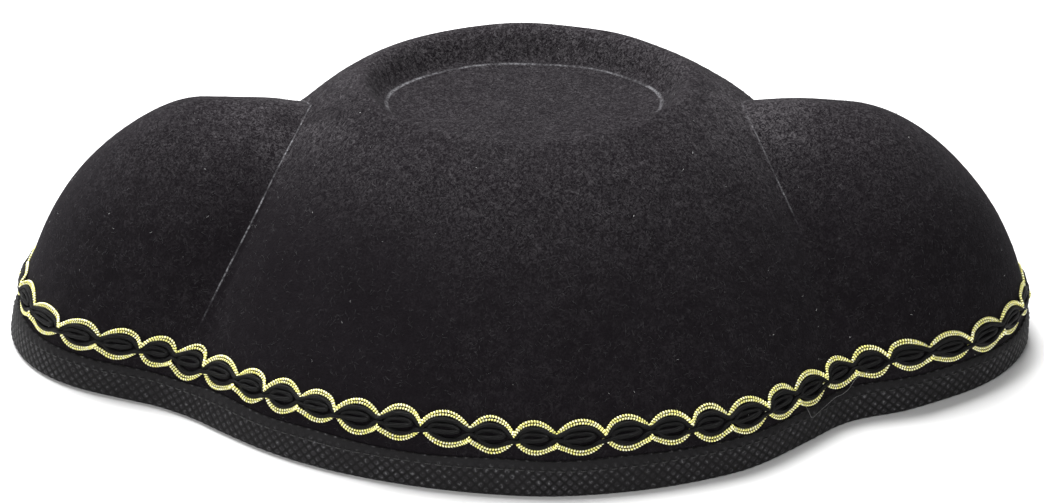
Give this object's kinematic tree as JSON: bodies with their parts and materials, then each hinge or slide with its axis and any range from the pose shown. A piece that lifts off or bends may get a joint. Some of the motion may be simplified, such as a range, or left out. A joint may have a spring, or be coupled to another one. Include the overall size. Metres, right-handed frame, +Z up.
{
  "type": "bullfighter costume hat",
  "caption": "Moulded black felt bullfighter's hat: oval dented crown between two rounded side lobes, taped bottom edge, gold and black scroll braid, inner sweatband.",
  "frame": {"origin": "under the middle of the hat, on the surface that its bound edge rests on", "axes": "+X along the lobes to the wearer's left, -Y to the front, +Z up"},
  "size_m": [0.3502, 0.2122, 0.0965],
  "materials": {
    "felt": "matt moulded wool felt with a short nap",
    "tape": "embossed non-woven tape, slight sheen",
    "gold": "twisted metallised thread, bright pale gold",
    "gimp": "rayon-wrapped gimp cord, silky",
    "thread": "polyester sewing thread",
    "band": "ribbed grosgrain ribbon",
    "label": "blank woven satin label"
  },
  "bodies": {
    "root": {"felt_body": "felt", "edge_binding": "tape", "binding_stitch_outer": "thread", "binding_stitch_inner": "thread", "gold_strand_upper_outer": "gold", "gold_strand_upper_inner": "gold", "gold_strand_lower_outer": "gold", "gold_strand_lower_inner": "gold", "gimp_cord_upper": "gimp", "gimp_cord_lower": "gimp", "braid_stitch": "thread", "sweatband": "band", "sweatband_stitch_lower": "thread", "sweatband_stitch_upper": "thread", "care_label": "label", "care_label_stitch": "thread"}
  },
  "joints": []
}
